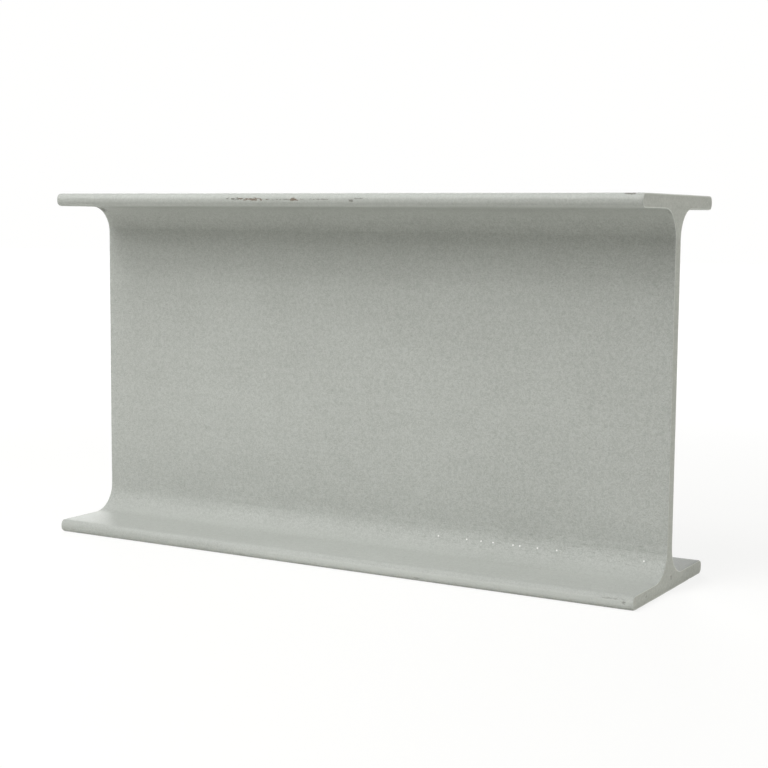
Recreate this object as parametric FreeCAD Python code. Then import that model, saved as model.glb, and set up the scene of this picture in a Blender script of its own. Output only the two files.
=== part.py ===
import FreeCAD, Part
import os

# Pultruded glass-fibre I-beam: one piece of stock, sawn square at both ends.
# Millimetres. The beam runs along X, its flanges spread along Y, and it
# stands on the outer face of its bottom flange at Z = 0, centred on X and Y.

# Overall sizes: a 10 x 5 x 3/8 in section, sawn 18 in long.
LENGTH = 457.2
DEPTH = 254.0
TOP_FLANGE_WIDTH = 127.0
BOTTOM_FLANGE_WIDTH = 127.0

# Walls. One die makes all three 3/8 in thick.
TOP_FLANGE_THICKNESS = 9.525
BOTTOM_FLANGE_THICKNESS = 9.525
WEB_THICKNESS = 9.525

# Fillets between the web and each flange, all four alike.
FILLET_RADIUS = 19.05

# Roundings of the flange tips: the edges on the outer faces, and the edges
# that face the other flange.
TIP_OUTER_RADIUS = 4.0
TIP_INNER_RADIUS = 4.0


def section_corners():
    """The section's twelve corners in order, each as (y, z, radius)."""
    top_tip = TOP_FLANGE_WIDTH / 2
    bottom_tip = BOTTOM_FLANGE_WIDTH / 2
    web_face = WEB_THICKNESS / 2
    top_inner_face = DEPTH - TOP_FLANGE_THICKNESS
    bottom_inner_face = BOTTOM_FLANGE_THICKNESS
    back_half = [
        (bottom_tip, 0.0, TIP_OUTER_RADIUS),
        (bottom_tip, bottom_inner_face, TIP_INNER_RADIUS),
        (web_face, bottom_inner_face, FILLET_RADIUS),
        (web_face, top_inner_face, FILLET_RADIUS),
        (top_tip, top_inner_face, TIP_INNER_RADIUS),
        (top_tip, DEPTH, TIP_OUTER_RADIUS),
    ]
    front_half = [(-y, z, radius) for y, z, radius in reversed(back_half)]
    return back_half + front_half


def direction(start, end):
    """Unit vector from start to end."""
    return end.sub(start).normalize()


def rounded_corner(before, corner, after, radius):
    """Arc of the given radius that turns a square corner, and its two ends."""
    into = direction(before, corner)
    out = direction(corner, after)
    start = corner.sub(into * radius)
    end = corner.add(out * radius)
    centre = start.add(out * radius)
    middle = centre.add(direction(centre, corner) * radius)
    return Part.Arc(start, middle, end).toShape(), start, end


def section_wire(x):
    """Closed outline of the section, in the YZ plane at x."""
    corners = section_corners()
    points = [FreeCAD.Vector(x, y, z) for y, z, radius in corners]
    turns = []
    for i, (y, z, radius) in enumerate(corners):
        following = points[(i + 1) % len(points)]
        turns.append(rounded_corner(points[i - 1], points[i], following, radius))
    edges = []
    for i, (arc, start, end) in enumerate(turns):
        previous_end = turns[i - 1][2]
        edges.append(Part.makeLine(previous_end, start))
        edges.append(arc)
    return Part.Wire(edges)


def make_i_beam():
    """The whole beam: its section drawn straight from one end to the other."""
    section = Part.Face(section_wire(-LENGTH / 2))
    return section.extrude(FreeCAD.Vector(LENGTH, 0, 0))


def write_part(name, shape):
    """Writes one node's solid and prints what it measures."""
    shape.exportStep(f"parts/{name}.step")
    box = shape.BoundBox
    print(name, "valid:", shape.isValid(), "solids:", len(shape.Solids))
    print("  volume mm3:", round(shape.Volume, 1), "area mm2:", round(shape.Area, 1))
    print("  size mm:", round(box.XLength, 3), round(box.YLength, 3), round(box.ZLength, 3))


os.makedirs("parts", exist_ok=True)
write_part("i_beam", make_i_beam())
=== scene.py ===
"""Looks of a pultruded fibreglass I-beam offcut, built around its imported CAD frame.

The beam is one drawn body. Its skin is a mesh swept from the section, with the
relief of the drawn surface, nicked edges and sawn ends in the geometry, and
the fibre pattern of its surfacing veil in the material.
"""

import math

import bpy
import numpy as np
from mathutils import Matrix, Vector, geometry, noise


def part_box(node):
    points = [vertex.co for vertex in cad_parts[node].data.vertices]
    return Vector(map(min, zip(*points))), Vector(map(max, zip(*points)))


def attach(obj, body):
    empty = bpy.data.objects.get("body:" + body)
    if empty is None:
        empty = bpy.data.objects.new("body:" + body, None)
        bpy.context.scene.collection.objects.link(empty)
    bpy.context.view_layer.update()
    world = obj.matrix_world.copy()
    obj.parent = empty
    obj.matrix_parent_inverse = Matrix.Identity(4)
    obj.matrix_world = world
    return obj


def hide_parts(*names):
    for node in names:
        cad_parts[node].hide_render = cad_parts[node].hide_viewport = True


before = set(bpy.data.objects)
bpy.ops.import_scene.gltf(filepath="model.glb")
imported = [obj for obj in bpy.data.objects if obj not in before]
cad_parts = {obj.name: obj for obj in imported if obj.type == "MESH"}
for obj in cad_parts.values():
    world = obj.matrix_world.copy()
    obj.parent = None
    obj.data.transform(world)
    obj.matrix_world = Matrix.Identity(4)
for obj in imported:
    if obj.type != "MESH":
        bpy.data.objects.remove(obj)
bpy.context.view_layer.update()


# ---------------------------------------------------------------- sizes, metres

MM = 0.001
LOW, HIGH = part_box("i_beam")
LENGTH = HIGH.x - LOW.x
WIDTH = HIGH.y - LOW.y
DEPTH = HIGH.z - LOW.z

# The section's own sizes, as in the construction.
FLANGE_THICKNESS = 9.525 * MM
WEB_THICKNESS = 9.525 * MM
FILLET_RADIUS = 19.05 * MM
TIP_RADIUS = 4.0 * MM

# Mesh spacing around the section and along the beam.
WEB_STEP = 4.0 * MM
FLANGE_STEP = 4.0 * MM
TIP_STEP = 0.8 * MM
FILLET_TURNS = 12
TIP_TURNS = 6
LENGTH_STEP = 2.4 * MM
END_STEPS = (0.35, 0.9, 1.8, 3.2)     # mm from a sawn end
CAP_STEP = 1.7 * MM
CAP_MARGIN = 0.9 * MM

# Relief, all of it into the surface.
WAVE_DEPTH = 0.16 * MM
DRAW_LINE_DEPTH = 0.07 * MM
FINE_DEPTH = 0.03 * MM
SAW_DEPTH = 0.12 * MM
ARRIS_REACH = 1.1 * MM     # from a sawn end, where its arris is broken

# Seeds of the two sawn ends: each end adds its side, -1 or 1.
CAP_SEED = 11
SAW_SEED = 20

# The mesh's material slots.
SKIN, SAWN, ARRIS = 0, 1, 2


# ---------------------------------------------------------------- small helpers

def link(obj):
    bpy.context.scene.collection.objects.link(obj)
    return obj


def smooth(low, high, value):
    """0 below low, 1 above high, eased between."""
    t = np.clip((value - low) / (high - low), 0.0, 1.0)
    return t * t * (3.0 - 2.0 * t)


def noise_field(x, y, z, seed):
    """Perlin noise, about -1 to 1, at arrays of points."""
    out = np.empty(len(x))
    shift = Vector((13.7 * seed, 7.1 * seed, 3.3 * seed))
    for i, point in enumerate(zip(x, y, z)):
        out[i] = noise.noise(Vector(point) + shift)
    return out


# ---------------------------------------------------------------- the section

def arc(centre, radius, start, end, turns):
    """Points on an arc, from one angle to another in degrees, both included."""
    angles = np.radians(np.linspace(start, end, turns + 1))
    y, z = centre
    return [(y + radius * math.cos(a), z + radius * math.sin(a)) for a in angles]


def straight(start, end, step):
    """Points between two ends, the ends left out."""
    count = max(2, round(math.dist(start, end) / step))
    (y0, z0), (y1, z1) = start, end
    return [(y0 + (y1 - y0) * i / count, z0 + (z1 - z0) * i / count) for i in range(1, count)]


def section_outline():
    """The closed section, counter-clockwise seen from +X, from the middle of the base."""
    tip = WIDTH / 2
    web = WEB_THICKNESS / 2
    base, top = LOW.z, HIGH.z
    over_base = base + FLANGE_THICKNESS
    under_top = top - FLANGE_THICKNESS
    r, f = TIP_RADIUS, FILLET_RADIUS
    arcs = [
        arc((tip - r, base + r), r, -90, 0, TIP_TURNS),
        arc((tip - r, over_base - r), r, 0, 90, TIP_TURNS),
        arc((web + f, over_base + f), f, -90, -180, FILLET_TURNS),
        arc((web + f, under_top - f), f, 180, 90, FILLET_TURNS),
        arc((tip - r, under_top + r), r, -90, 0, TIP_TURNS),
        arc((tip - r, top - r), r, 0, 90, TIP_TURNS),
    ]
    steps = [TIP_STEP, FLANGE_STEP, WEB_STEP, FLANGE_STEP, TIP_STEP]
    half = list(arcs[0])
    for step, following in zip(steps, arcs[1:]):
        half += straight(half[-1], following[0], step) + following
    half = straight((0.0, base), half[0], FLANGE_STEP) + half
    half += straight(half[-1], (0.0, top), FLANGE_STEP)
    mirrored = [(-y, z) for y, z in reversed(half)]
    return np.array([(0.0, base)] + half + [(0.0, top)] + mirrored)


def outline_normals(outline):
    """Outward unit normals of a closed counter-clockwise outline."""
    tangent = np.roll(outline, -1, axis=0) - np.roll(outline, 1, axis=0)
    tangent /= np.linalg.norm(tangent, axis=1)[:, None]
    return np.stack([tangent[:, 1], -tangent[:, 0]], axis=1)


def stations():
    """Positions along the beam, close together near the two sawn ends."""
    half = LENGTH / 2
    near = [half - step * MM for step in END_STEPS]
    inner = near[-1]
    count = round(2 * inner / LENGTH_STEP)
    middle = np.linspace(-inner, inner, count + 1)
    outer = near[:-1]
    return np.array([-half] + [-x for x in outer] + list(middle) + outer[::-1] + [half])


# Nicks in the edges: position along the beam, across and up, then the reach
# along the beam and around it, and the depth, all in mm.
NICKS = [
    (220.5, -62.0, 253.2, 4.0, 1.4, 0.6),
    (-54.0, -63.4, 249.8, 8.0, 0.9, 0.3),
    (-70.5, -63.4, 249.8, 4.0, 0.8, 0.25),
    (-19.5, -63.4, 249.6, 4.0, 0.9, 0.3),
    (27.8, -63.4, 248.9, 2.0, 0.9, 0.25),
    (222.4, -63.5, 5.0, 1.6, 1.2, 0.5),
    (215.0, -63.3, 6.6, 4.5, 0.7, 0.25),
    (227.8, -62.8, 1.6, 2.0, 2.0, 0.8),
    (78.5, -63.5, 2.6, 3.0, 0.9, 0.2),
    (-150.0, 63.0, 252.5, 6.0, 1.4, 0.5),
    (96.0, 63.3, 1.6, 5.0, 1.3, 0.45),
]


def relief_depth(x, y, z):
    """How far the drawn surface lies under the ideal one, at arrays of points."""
    k = 1.0 / MM
    wave = 0.5 + 0.5 * noise_field(x * 9, y * 26, z * 26, 1)
    draw = 0.5 + 0.5 * noise_field(x * 2.5, y * 420, z * 420, 2)
    fine = 0.5 + 0.5 * noise_field(x * 160, y * 160, z * 160, 3)
    depth = WAVE_DEPTH * wave + DRAW_LINE_DEPTH * draw + FINE_DEPTH * fine
    for nx, ny, nz, along, around, deep in NICKS:
        far = ((x * k - nx) / along) ** 2 + ((y * k - ny) ** 2 + (z * k - nz) ** 2) / around ** 2
        near = np.nonzero(far < 9)[0]
        rough = noise_field(x[near] * 500, y[near] * 900, z[near] * 900, 4)
        depth[near] += deep * MM * np.exp(-far[near]) * (0.75 + 0.6 * rough)
    return np.clip(depth, 0.0, None)


# ---------------------------------------------------------------- the beam's mesh

def sweep_skin(outline, normals):
    """Vertices of the drawn surface, station by station, and its faces."""
    xs = stations()
    count = len(outline)
    x = np.repeat(xs, count)
    y = np.tile(outline[:, 0], len(xs))
    z = np.tile(outline[:, 1], len(xs))
    depth = relief_depth(x, y, z)
    # The sawn arris is slightly broken all round.
    to_end = LENGTH / 2 - np.abs(x)
    broken = 0.5 + 0.5 * noise_field(x * 40, y * 330, z * 330, 5)
    splinter = smooth(0.62, 0.95, 0.5 + 0.5 * noise_field(x * 9, y * 700, z * 700, 6))
    loss = (0.10 + 0.22 * broken + 0.35 * splinter) * MM
    depth += loss * (1 - smooth(0.0, ARRIS_REACH, to_end))
    y = y - depth * np.tile(normals[:, 0], len(xs))
    z = z - depth * np.tile(normals[:, 1], len(xs))
    faces = []
    for s in range(len(xs) - 1):
        for i in range(count):
            j = (i + 1) % count
            faces.append((s * count + i, s * count + j, (s + 1) * count + j, (s + 1) * count + i))
    return xs, np.stack([x, y, z], axis=1), faces


def inside(outline, points):
    """Which points lie inside the closed outline."""
    result = np.zeros(len(points), bool)
    y, z = points[:, 0], points[:, 1]
    for (y0, z0), (y1, z1) in zip(outline, np.roll(outline, -1, axis=0)):
        crosses = (z0 > z) != (z1 > z)
        if z0 != z1:
            result ^= crosses & (y < (y1 - y0) * (z - z0) / (z1 - z0) + y0)
    return result


def cap_points(outline, normals, seed):
    """Points of a sawn end: an inner ring, then a jittered grid inside it."""
    rng = np.random.default_rng(seed)
    ring = outline - normals * CAP_MARGIN
    grid_y = np.arange(-WIDTH / 2, WIDTH / 2, CAP_STEP)
    grid_z = np.arange(LOW.z, HIGH.z, CAP_STEP)
    grid = np.array([(a, b) for b in grid_z for a in grid_y])
    grid += rng.uniform(-0.25, 0.25, grid.shape) * CAP_STEP
    clear = outline - normals * (CAP_MARGIN + 0.6 * CAP_STEP)
    return ring, grid[inside(clear, grid)]


def saw_depth(y, z, seed):
    """Relief of a sawn end: shallow cut lines with torn fibre between them."""
    bend = 2.0 * noise_field(y * 20, z * 20, y * 0, seed)
    lines = 0.5 + 0.5 * np.sin((z + 0.12 * y) * 2 * math.pi / (7.3 * MM) + bend)
    torn = 0.5 + 0.5 * noise_field(y * 450, z * 450, y * 0, seed + 1)
    return SAW_DEPTH * (0.35 * lines + 0.65 * torn)


def cap_mesh(outline, normals, side):
    """A sawn end's points and triangles, and where its ring's points are among them."""
    count = len(outline)
    ring, grid = cap_points(outline, normals, CAP_SEED + side)
    edges = [(i, (i + 1) % count) for i in range(count)]
    coords = [Vector(point) for point in np.concatenate([ring, grid])]
    result = geometry.delaunay_2d_cdt(coords, edges, [], 1, 1e-7)
    flat = np.array([tuple(point) for point in result[0]])
    place = {old: new for new, olds in enumerate(result[3]) for old in olds}
    return flat, [tuple(face) for face in result[2]], place


def rim_faces(count, first, base, place, side):
    """Faces between the skin's last ring, from vertex first, and a sawn end's ring."""
    faces = []
    for i in range(count):
        j = (i + 1) % count
        a, b = first + i, first + j
        c, d = base + place[j], base + place[i]
        faces.append((a, b, c, d) if side > 0 else (b, a, d, c))
    return faces


def outward(flat, triangles, base, side):
    """A sawn end's triangles, each turned to face away from the beam."""
    faces = []
    for p, q, r in triangles:
        area = np.cross(flat[q] - flat[p], flat[r] - flat[p])
        turn = (p, q, r) if (area > 0) == (side > 0) else (p, r, q)
        faces.append(tuple(base + v for v in turn))
    return faces


def skin_uvs(xs, outline):
    """The skin laid out flat: along the beam, then around the section, in metres."""
    count = len(outline)
    around = np.concatenate([[0.0], np.cumsum(np.linalg.norm(np.diff(outline, axis=0), axis=1))])
    total = around[-1] + np.linalg.norm(outline[0] - outline[-1])
    uvs = []
    for s in range(len(xs) - 1):
        for i in range(count):
            v0 = around[i]
            v1 = around[i + 1] if i + 1 < count else total
            uvs += [(xs[s], v0), (xs[s], v1), (xs[s + 1], v1), (xs[s + 1], v0)]
    return uvs


def build_beam():
    """The whole beam as one closed mesh: its skin, its sawn ends and their arris."""
    outline = section_outline()
    normals = outline_normals(outline)
    count = len(outline)
    xs, skin, faces = sweep_skin(outline, normals)
    slots = [SKIN] * len(faces)
    uvs = skin_uvs(xs, outline)
    vertices = [skin]
    base = len(skin)
    for side in (-1, 1):
        first = (len(xs) - 1) * count if side > 0 else 0
        flat, triangles, place = cap_mesh(outline, normals, side)
        x = side * (LENGTH / 2 - saw_depth(flat[:, 0], flat[:, 1], SAW_SEED + side))
        vertices.append(np.stack([x, flat[:, 0], flat[:, 1]], axis=1))
        rim = rim_faces(count, first, base, place, side)
        inner = outward(flat, triangles, base, side)
        every = np.concatenate(vertices)
        for face in rim + inner:
            faces.append(face)
            uvs += [(every[v][1] + side, every[v][2]) for v in face]
        slots += [ARRIS] * len(rim) + [SAWN] * len(inner)
        base += len(flat)

    mesh = bpy.data.meshes.new("i_beam_skin")
    mesh.from_pydata([tuple(v) for v in np.concatenate(vertices)], [], faces)
    layer = mesh.uv_layers.new(name="unrolled")
    layer.data.foreach_set("uv", np.array(uvs, np.float32).ravel())
    mesh.polygons.foreach_set("material_index", slots)
    mesh.polygons.foreach_set("use_smooth", [slot == SKIN for slot in slots])
    mesh.update()
    mesh.validate()
    return link(bpy.data.objects.new("i_beam_visual", mesh))


# ---------------------------------------------------------------- materials

class Nodes:
    """Short calls for building the node tree of a material or of the world."""

    def __init__(self, owner):
        owner.use_nodes = True
        self.owner = owner
        self.tree = owner.node_tree
        self.shader = self.tree.nodes.get("Principled BSDF")

    def add(self, kind, **settings):
        node = self.tree.nodes.new(kind)
        for key, value in settings.items():
            setattr(node, key, value)
        return node

    def feed(self, socket, value):
        if isinstance(value, bpy.types.NodeSocket):
            self.tree.links.new(value, socket)
        else:
            socket.default_value = value

    def math(self, operation, a, b=0.0, clamp=False):
        node = self.add("ShaderNodeMath", operation=operation, use_clamp=clamp)
        self.feed(node.inputs[0], a)
        self.feed(node.inputs[1], b)
        return node.outputs[0]

    def remap(self, value, low, high, to_low=0.0, to_high=1.0):
        node = self.add("ShaderNodeMapRange", interpolation_type="SMOOTHSTEP")
        self.feed(node.inputs["Value"], value)
        node.inputs["From Min"].default_value = low
        node.inputs["From Max"].default_value = high
        node.inputs["To Min"].default_value = to_low
        node.inputs["To Max"].default_value = to_high
        return node.outputs["Result"]

    def place(self, vector, turn=0.0, scale=(1, 1, 1), shift=(0, 0, 0)):
        node = self.add("ShaderNodeMapping")
        self.feed(node.inputs["Vector"], vector)
        node.inputs["Rotation"].default_value = (0, 0, math.radians(turn))
        node.inputs["Scale"].default_value = scale
        node.inputs["Location"].default_value = shift
        return node.outputs["Vector"]

    def noise(self, vector, scale, detail=2.0, roughness=0.5, distortion=0.0):
        node = self.add("ShaderNodeTexNoise", noise_dimensions="3D")
        self.feed(node.inputs["Vector"], vector)
        node.inputs["Scale"].default_value = scale
        node.inputs["Detail"].default_value = detail
        node.inputs["Roughness"].default_value = roughness
        node.inputs["Distortion"].default_value = distortion
        return node.outputs["Fac"]

    def mix(self, factor, a, b, blend="MIX"):
        node = self.add("ShaderNodeMix", data_type="RGBA", blend_type=blend)
        self.feed(node.inputs["Factor"], factor)
        self.feed(node.inputs["A"], a)
        self.feed(node.inputs["B"], b)
        return node.outputs["Result"]

    def bump(self, height, distance, strength=1.0, normal=None):
        node = self.add("ShaderNodeBump")
        node.inputs["Strength"].default_value = strength
        node.inputs["Distance"].default_value = distance
        self.feed(node.inputs["Height"], height)
        if normal is not None:
            self.feed(node.inputs["Normal"], normal)
        return node.outputs["Normal"]


RESIN_LIGHT = (0.549, 0.568, 0.537, 1)
RESIN_DARK = (0.350, 0.363, 0.335, 1)
SAWN_LIGHT = (0.475, 0.487, 0.445, 1)
SAWN_DARK = (0.300, 0.305, 0.272, 1)
# Pale broken fibre of the sawn arris, with painted highlight in it.
ARRIS_PALE_AND_HIGHLIGHT = (0.610, 0.625, 0.580, 1)
RUST = (0.150, 0.110, 0.077, 1)
SOOT = (0.130, 0.127, 0.108, 1)
# Colour of the small near-white dots on the front bottom fillet.
DOT_COLOR = (0.900, 0.900, 0.880, 1)

FIBRE_ANGLES = (6, 37, 68, 97, 126, 158)

# Marks on the skin: place, reach along X, Y and Z, all in mm, then strength.
RUST_MARKS = [
    ((-53.5, -63.4, 249.7), (8.5, 3.0, 0.75), 0.85),
    ((-19.5, -63.4, 249.6), (3.6, 3.0, 0.75), 0.8),
]
SOOT_MARKS = [
    ((-67.0, -63.4, 249.9), (8.5, 3.0, 0.6), 0.75),
    ((-27.0, -63.4, 249.4), (13.0, 3.0, 0.4), 0.5),
    ((1.0, -63.4, 249.6), (6.0, 3.0, 0.4), 0.5),
    ((25.6, -63.4, 248.9), (1.8, 3.0, 0.7), 0.7),
    ((31.0, -63.4, 250.2), (5.0, 3.0, 0.35), 0.45),
    ((220.5, -62.4, 253.4), (4.2, 3.0, 0.65), 0.8),
    ((222.4, -63.5, 5.0), (1.3, 2.0, 0.9), 0.55),
    ((214.5, -63.4, 6.8), (7.0, 2.5, 0.35), 0.35),
    ((228.2, -15.2, 243.0), (2.0, 3.5, 2.0), 0.3),
    ((78.5, -63.5, 2.4), (2.5, 2.0, 0.6), 0.35),
    ((-63.6, -63.4, 2.0), (5.0, 2.0, 0.5), 0.3),
    ((-227.0, -15.4, 243.0), (4.0, 5.0, 2.4), 0.6),
    ((-121.0, 63.4, 250.0), (8.0, 3.0, 0.7), 0.6),
    ((150.0, 63.4, 5.0), (4.0, 2.0, 0.9), 0.5),
]
END_MARKS = [
    ((228.6, 4.3, 8.1), (3.0, 0.9, 1.6), 0.8),
    ((228.6, -40.0, 5.0), (3.0, 2.0, 0.7), 0.35),
    ((-228.6, 12.0, 247.0), (3.0, 1.6, 1.0), 0.5),
]
# Small near-white dots in a row on the front bottom fillet, in mm: places along X, one
# place across and up, and their radius.
WHITE_DOTS = (64, 86, 97, 106, 121, 126, 139, 153, 214)
WHITE_DOT_PLACE = (-7.3, 19.6)
WHITE_DOT_RADIUS = 0.75


def fibres(n, uv, length, width, cut):
    """Crossing short fibres: thin ridges of noise stretched in several directions."""
    total = None
    for i, angle in enumerate(FIBRE_ANGLES):
        turned = n.place(uv, angle, shift=(3.1 * i, 1.7 * i, 0))
        stretched = n.place(turned, 0, scale=(1 / length, 1 / width, 1))
        one = n.remap(n.noise(stretched, 1.0, 0.0), cut, cut + 0.11)
        total = one if total is None else n.math("MAXIMUM", total, one)
    return total


def weighted(n, start, *terms):
    """start plus each (amount, value around 0.5) taken about its middle."""
    total = start
    for amount, value in terms:
        total = n.math("ADD", total, n.math("MULTIPLY", n.math("SUBTRACT", value, 0.5), amount))
    return total


def marks(n, where, ragged, spots):
    """Mask of soft-edged spots; ragged, around 0, breaks them up."""
    total = None
    for centre, reach, strength in spots:
        moved = n.add("ShaderNodeVectorMath", operation="SUBTRACT")
        n.feed(moved.inputs[0], where)
        moved.inputs[1].default_value = [c * MM for c in centre]
        scaled = n.add("ShaderNodeVectorMath", operation="DIVIDE")
        n.feed(scaled.inputs[0], moved.outputs["Vector"])
        scaled.inputs[1].default_value = [r * MM for r in reach]
        far = n.add("ShaderNodeVectorMath", operation="LENGTH")
        n.feed(far.inputs[0], scaled.outputs["Vector"])
        edge = n.math("ADD", far.outputs["Value"], ragged)
        spot = n.remap(edge, 0.7, 1.1, strength, 0.0)
        total = spot if total is None else n.math("MAXIMUM", total, spot)
    return total


def band(n, value, centre, reach):
    """1 at centre, falling to 0 at reach on either side."""
    return n.remap(n.math("ABSOLUTE", n.math("SUBTRACT", value, centre)), 0.0, reach, 1.0, 0.0)


def between(n, value, low, high, ease):
    """1 from low to high, eased to 0 outside."""
    return n.math("MULTIPLY", n.remap(value, low - ease, low + ease),
                  n.remap(value, high - ease, high + ease, 1.0, 0.0))


def unrolled(n):
    """The surface laid out flat, in metres."""
    return n.add("ShaderNodeUVMap", uv_map="unrolled").outputs["UV"]


def placed(n):
    """The point's own place on the beam, in metres."""
    return n.add("ShaderNodeTexCoord").outputs["Object"]


def fillet_lines_and_shade(n, height, across, patch):
    """Lines where the bottom fillets run out into the web, and painted shade where the top
    fillets meet it: above 0 pale, below 0 dark.
    """
    low_toe = LOW.z + FLANGE_THICKNESS + FILLET_RADIUS
    high_toe = HIGH.z - FLANGE_THICKNESS - FILLET_RADIUS
    on_web = n.remap(across, 5.2 * MM, 7.5 * MM, 1.0, 0.0)
    # Dark: a line just below the bottom fillet's toe, and painted shade where the top fillet
    # meets the web under the top flange.
    dark = n.math("MAXIMUM", band(n, height, low_toe - 3.0 * MM, 1.8 * MM),
                  band(n, height, high_toe + 2.0 * MM, 1.6 * MM))
    light = band(n, height, low_toe, 1.6 * MM)
    lines = n.math("MULTIPLY", n.math("SUBTRACT", light, dark), on_web)
    return n.math("MULTIPLY", lines, n.remap(patch, 0.40, 0.60, 0.25, 1.0))


def veil_share(n, height, across):
    """How much of the veil shows: all on the web, less on the smoother flanges."""
    inner = between(n, height, LOW.z + FLANGE_THICKNESS, HIGH.z - FLANGE_THICKNESS, 1.0 * MM)
    near_web = n.math("MULTIPLY", n.remap(across, 6.0 * MM, 15.0 * MM, 1.0, 0.0), inner)
    return n.math("ADD", n.math("MULTIPLY", near_web, 0.42), 0.58)


def fillet_dashes(n, uv, height, along):
    """Short dark dashes along the bottom fillets, over their right half."""
    dashes = n.noise(n.place(uv, 0, scale=(160, 1000, 1)), 1.0, 1.0, 0.5)
    on_fillet = between(n, height, LOW.z + 13.0 * MM, LOW.z + 31.0 * MM, 3.0 * MM)
    dashes = n.math("MULTIPLY", n.remap(dashes, 0.60, 0.68), on_fillet)
    return n.math("MULTIPLY", dashes, n.remap(along, -60 * MM, 80 * MM))


def edge_painted_light_and_shade(n, height, across, along):
    """Painted light and shade on the flange edges, tuned under the lamps below.

    The top flange's edges get painted shade along the middle and painted light underneath,
    the bottom flange's get painted light above a painted-shade lower rim.
    """
    on_edge = n.remap(across, WIDTH / 2 - 4.4 * MM, WIDTH / 2 - 3.4 * MM)
    # Painted shade along the middle of the top flange's edge face.
    painted_shade_band = between(n, height, HIGH.z - 7.6 * MM, HIGH.z - 3.9 * MM, 0.9 * MM)
    # Painted light on the top flange's rounding underneath, and on the bottom flange's edge face.
    painted_light_under_top = between(n, height, HIGH.z - 10.4 * MM, HIGH.z - 8.0 * MM, 0.6 * MM)
    painted_light_low = between(n, height, LOW.z + 2.0 * MM, LOW.z + 6.8 * MM, 0.9 * MM)
    # Painted shade on the bottom flange's lower rim.
    rim = between(n, height, LOW.z - 2.0 * MM, LOW.z + 1.2 * MM, 0.6 * MM)
    painted_light_low = n.math("MULTIPLY", painted_light_low, n.remap(along, -120 * MM, 20 * MM, 0.1, 1.0))
    edge = n.math("SUBTRACT", n.math("MULTIPLY", painted_light_low, 0.46), n.math("MULTIPLY", rim, 0.20))
    edge = n.math("ADD", edge, n.math("MULTIPLY", painted_light_under_top, 0.22))
    edge = n.math("SUBTRACT", edge, n.math("MULTIPLY", painted_shade_band, 0.36))
    return n.math("MULTIPLY", edge, on_edge)


def marked(n, color, where):
    """The skin's colour with its stains and small near-white dots on it."""
    ragged = n.noise(n.place(where, 0, scale=(0.4, 1, 1)), 1100.0, 2.0, 0.6)
    ragged = n.math("MULTIPLY", n.math("SUBTRACT", ragged, 0.5), 4.5)
    color = n.mix(marks(n, where, ragged, SOOT_MARKS), color, SOOT)
    color = n.mix(marks(n, where, ragged, RUST_MARKS), color, RUST)
    # Small near-white dots along the front bottom fillet.
    white_dots = [((x, *WHITE_DOT_PLACE), (WHITE_DOT_RADIUS,) * 3, 1.0) for x in WHITE_DOTS]
    return n.mix(marks(n, where, 0.0, white_dots), color, DOT_COLOR)


def skin_material():
    n = Nodes(bpy.data.materials.new("pultruded_skin"))
    uv, where = unrolled(n), placed(n)
    axis = n.add("ShaderNodeSeparateXYZ")
    n.feed(axis.inputs["Vector"], where)
    along, across = axis.outputs["X"], n.math("ABSOLUTE", axis.outputs["Y"])

    light = fibres(n, uv, 5.0 * MM, 0.85 * MM, 0.60)
    dark = fibres(n, n.place(uv, 17, shift=(0.9, 0.4, 0)), 4.0 * MM, 0.85 * MM, 0.61)
    pores = n.remap(n.noise(uv, 620.0, 1.0, 0.5), 0.64, 0.74)
    grain = n.noise(uv, 1900.0, 1.0, 0.6)
    cloud = n.noise(uv, 55.0, 3.0, 0.6)
    patch = n.noise(n.place(uv, 0, scale=(1, 1.5, 1)), 12.0, 2.0, 0.5)
    streak = n.noise(n.place(uv, 0, scale=(4, 300, 1)), 1.0, 2.0, 0.55)
    # The height wavers, so that no line along the beam is ruled straight.
    waver = n.math("MULTIPLY", n.math("SUBTRACT", cloud, 0.5), 1.5 * MM)
    height = n.math("ADD", axis.outputs["Z"], waver)

    pattern = weighted(n, 0.0, (0.20, cloud), (0.95, grain))
    pattern = n.math("ADD", pattern, n.math("MULTIPLY", light, 0.22))
    pattern = n.math("SUBTRACT", pattern, n.math("MULTIPLY", dark, 0.24))
    pattern = n.math("SUBTRACT", pattern, n.math("MULTIPLY", pores, 0.28))
    pattern = n.math("MULTIPLY", pattern, veil_share(n, height, across))
    # The fillet lines carry painted shade where the top fillets meet the web.
    lines = n.math("MULTIPLY", fillet_lines_and_shade(n, height, across, patch), 0.12)
    dashes = n.math("MULTIPLY", fillet_dashes(n, uv, height, along), 0.34)
    tone = weighted(n, 0.55, (0.26, patch), (0.14, streak))
    tone = n.math("ADD", tone, pattern)
    tone = n.math("ADD", tone, lines)
    tone = n.math("SUBTRACT", tone, dashes)
    # Painted light and painted shade of the flange edges go into the colour here.
    tone = n.math("ADD", tone, edge_painted_light_and_shade(n, height, across, along), clamp=True)
    color = marked(n, n.mix(tone, RESIN_DARK, RESIN_LIGHT), where)
    n.feed(n.shader.inputs["Base Color"], color)

    n.feed(n.shader.inputs["Roughness"], n.remap(grain, 0.25, 0.75, 0.52, 0.66))
    n.shader.inputs["Specular IOR Level"].default_value = 0.28
    relief = weighted(n, 0.5, (0.5, grain), (0.9, streak), (0.5, cloud))
    relief = n.math("ADD", relief, n.math("MULTIPLY", light, 0.55))
    relief = n.math("SUBTRACT", relief, n.math("MULTIPLY", n.math("ADD", dark, pores), 0.45))
    n.feed(n.shader.inputs["Normal"], n.bump(relief, 0.09 * MM, 0.9))
    return n.owner


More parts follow.
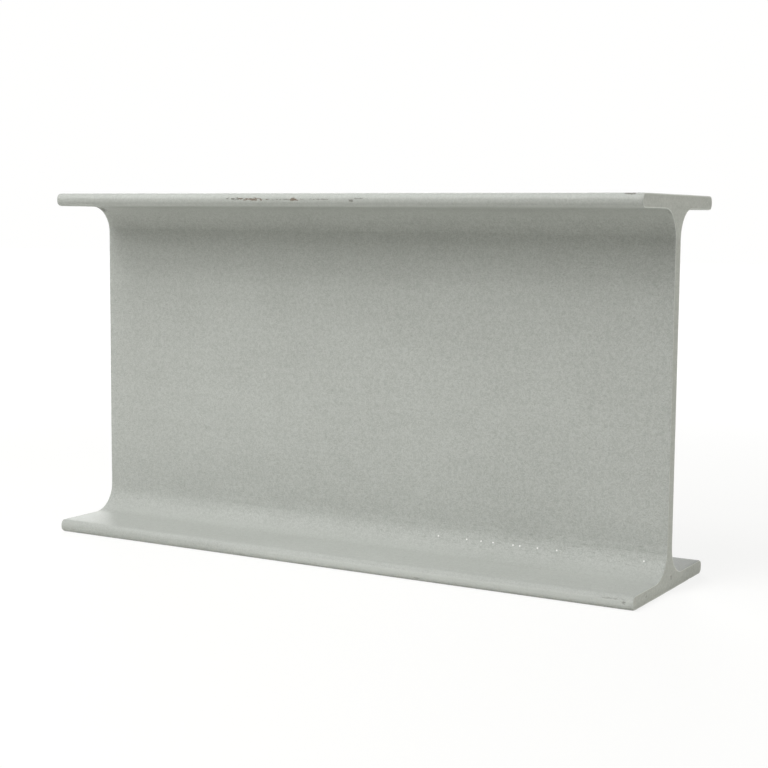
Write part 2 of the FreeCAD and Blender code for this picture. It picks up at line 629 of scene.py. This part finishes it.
def sawn_material():
    n = Nodes(bpy.data.materials.new("sawn_end"))
    uv, where = unrolled(n), placed(n)
    rovings = n.noise(n.place(uv, 0, scale=(0.7, 1, 1)), 1000.0, 2.0, 0.65)
    clumps = n.noise(uv, 360.0, 3.0, 0.6)
    cloud = n.noise(uv, 35.0, 2.0, 0.5)
    kerf = n.noise(n.place(uv, 8, scale=(12, 420, 1)), 1.0, 2.0, 0.5)
    pores = n.remap(n.noise(uv, 700.0, 1.0, 0.5), 0.66, 0.78)
    tone = weighted(n, 0.60, (0.90, clumps), (0.90, rovings), (0.40, cloud), (0.30, kerf))
    tone = n.math("SUBTRACT", tone, n.math("MULTIPLY", pores, 0.30), clamp=True)
    color = n.mix(tone, SAWN_DARK, SAWN_LIGHT)
    ragged = n.math("MULTIPLY", n.math("SUBTRACT", n.noise(where, 900.0, 2.0, 0.6), 0.5), 2.5)
    color = n.mix(marks(n, where, ragged, END_MARKS), color, SOOT)
    n.feed(n.shader.inputs["Base Color"], color)
    n.shader.inputs["Roughness"].default_value = 0.85
    n.shader.inputs["Specular IOR Level"].default_value = 0.2
    relief = weighted(n, 0.5, (0.8, rovings), (1.0, clumps), (0.6, kerf))
    n.feed(n.shader.inputs["Normal"], n.bump(relief, 0.16 * MM, 0.9))
    return n.owner


def arris_material():
    n = Nodes(bpy.data.materials.new("sawn_arris"))
    uv = unrolled(n)
    clumps = n.noise(uv, 300.0, 3.0, 0.6)
    rovings = n.noise(uv, 1300.0, 2.0, 0.6)
    tone = weighted(n, 0.6, (0.9, clumps), (0.5, rovings))
    # Pale broken fibre on the arris, partly painted highlight.
    n.feed(n.shader.inputs["Base Color"], n.mix(tone, SAWN_LIGHT, ARRIS_PALE_AND_HIGHLIGHT))
    n.shader.inputs["Roughness"].default_value = 0.7
    n.shader.inputs["Specular IOR Level"].default_value = 0.25
    return n.owner


# ---------------------------------------------------------------- stage

FLOOR_COLOR = (0.76, 0.757, 0.725, 1)
FLOOR_REACH = 8.0            # metres from the beam to each side of the floor
WHITE = (1, 1, 0.995, 1)
WHITE_STRENGTH = 1.07        # of the floor's plain white
SHADOW_SHARE = 0.22          # of the lit floor's own tone in what the camera sees
WHITE_FROM, WHITE_TO = 0.35, 1.5   # metres over which the floor turns plain white


def seen_directly(n):
    """1 for rays from the camera and for those a glossy or clear surface sends."""
    path = n.add("ShaderNodeLightPath").outputs
    seen = n.math("MAXIMUM", path["Is Camera Ray"], path["Is Glossy Ray"])
    return n.math("MAXIMUM", seen, path["Is Transmission Ray"])


def floor_material():
    """Pale matt floor that shows white, with the beam's soft shadow kept on it."""
    n = Nodes(bpy.data.materials.new("pale_floor"))
    n.shader.inputs["Base Color"].default_value = FLOOR_COLOR
    n.shader.inputs["Roughness"].default_value = 0.9
    n.shader.inputs["Specular IOR Level"].default_value = 0.1
    white = n.add("ShaderNodeEmission")
    white.inputs["Color"].default_value = WHITE
    white.inputs["Strength"].default_value = WHITE_STRENGTH
    where = n.add("ShaderNodeTexCoord").outputs["Object"]
    distance = n.add("ShaderNodeVectorMath", operation="LENGTH")
    n.feed(distance.inputs[0], where)
    far = n.remap(distance.outputs["Value"], WHITE_FROM, WHITE_TO, 1 - SHADOW_SHARE, 1.0)
    blend = n.add("ShaderNodeMixShader")
    n.feed(blend.inputs["Fac"], n.math("MULTIPLY", far, seen_directly(n)))
    n.feed(blend.inputs[1], n.shader.outputs["BSDF"])
    n.feed(blend.inputs[2], white.outputs["Emission"])
    n.feed(n.tree.nodes["Material Output"].inputs["Surface"], blend.outputs["Shader"])
    return n.owner


def make_floor():
    side = FLOOR_REACH
    mesh = bpy.data.meshes.new("floor")
    corners = [(-side, -side, 0), (side, -side, 0), (side, side, 0), (-side, side, 0)]
    mesh.from_pydata(corners, [], [(0, 1, 2, 3)])
    floor = link(bpy.data.objects.new("floor", mesh))
    floor.data.materials.append(floor_material())


def make_surround(light=0.08):
    """World that shows as white and lights the beam only faintly."""
    world = bpy.data.worlds.new("surround")
    bpy.context.scene.world = world
    n = Nodes(world)
    background = n.tree.nodes["Background"]
    background.inputs["Color"].default_value = WHITE
    strength = n.remap(seen_directly(n), 0.0, 1.0, light, 1.0)
    n.feed(background.inputs["Strength"], strength)


# Lamps: place, then width and height, in metres, then power in watts.
LAMPS = {
    "near_front": ((-0.1, -1.5, 1.15), (1.0, 0.8), 10.8),
    "near_over": ((-0.3, -0.8, 1.3), (0.8, 0.8), 7.6),
    "near_left": ((-0.9, -1.3, 1.1), (0.9, 0.8), 2.6),
    "over": ((-0.1, -0.45, 1.2), (0.6, 0.6), 4.1),
    "low_right": ((2.9, 0.5, 0.45), (1.2, 0.7), 38.9),
    "back_left": ((-1.6, 2.6, 1.4), (1.6, 1.2), 55.0),
}


def make_lamps():
    aim = Vector((0, 0, DEPTH / 2))
    for name, (place, size, power) in LAMPS.items():
        lamp = bpy.data.lights.new(name, "AREA")
        lamp.shape = "RECTANGLE"
        lamp.size, lamp.size_y = size
        lamp.energy = power
        obj = link(bpy.data.objects.new(name, lamp))
        obj.location = place
        obj.rotation_euler = (aim - Vector(place)).to_track_quat("-Z", "Y").to_euler()


# ---------------------------------------------------------------- camera

CAMERA_PLACE = (561.7 * MM, -940.1 * MM, 235.4 * MM)
CAMERA_YAW = 30.16
CAMERA_PITCH = -5.98
CAMERA_ROLL = -0.50
CAMERA_LENS = 72.77


def make_camera():
    yaw, pitch, roll = (math.radians(a) for a in (CAMERA_YAW, CAMERA_PITCH, CAMERA_ROLL))
    flat = math.cos(pitch)
    forward = Vector((-math.sin(yaw) * flat, math.cos(yaw) * flat, math.sin(pitch)))
    level = forward.cross(Vector((0, 0, 1))).normalized()
    down = forward.cross(level)
    right = level * math.cos(roll) + down * math.sin(roll)
    up = level * math.sin(roll) - down * math.cos(roll)
    data = bpy.data.cameras.new("camera")
    data.lens = CAMERA_LENS
    data.sensor_width = 36.0
    camera = link(bpy.data.objects.new("camera", data))
    turn = Matrix((right, up, -forward)).transposed().to_4x4()
    camera.matrix_world = Matrix.Translation(CAMERA_PLACE) @ turn
    bpy.context.scene.camera = camera


# ---------------------------------------------------------------- all together

beam = build_beam()
beam.data.materials.append(skin_material())
beam.data.materials.append(sawn_material())
beam.data.materials.append(arris_material())
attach(beam, "root")
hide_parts("i_beam")

make_floor()
make_surround()
make_lamps()
make_camera()
bpy.context.scene.view_settings.view_transform = "Standard"
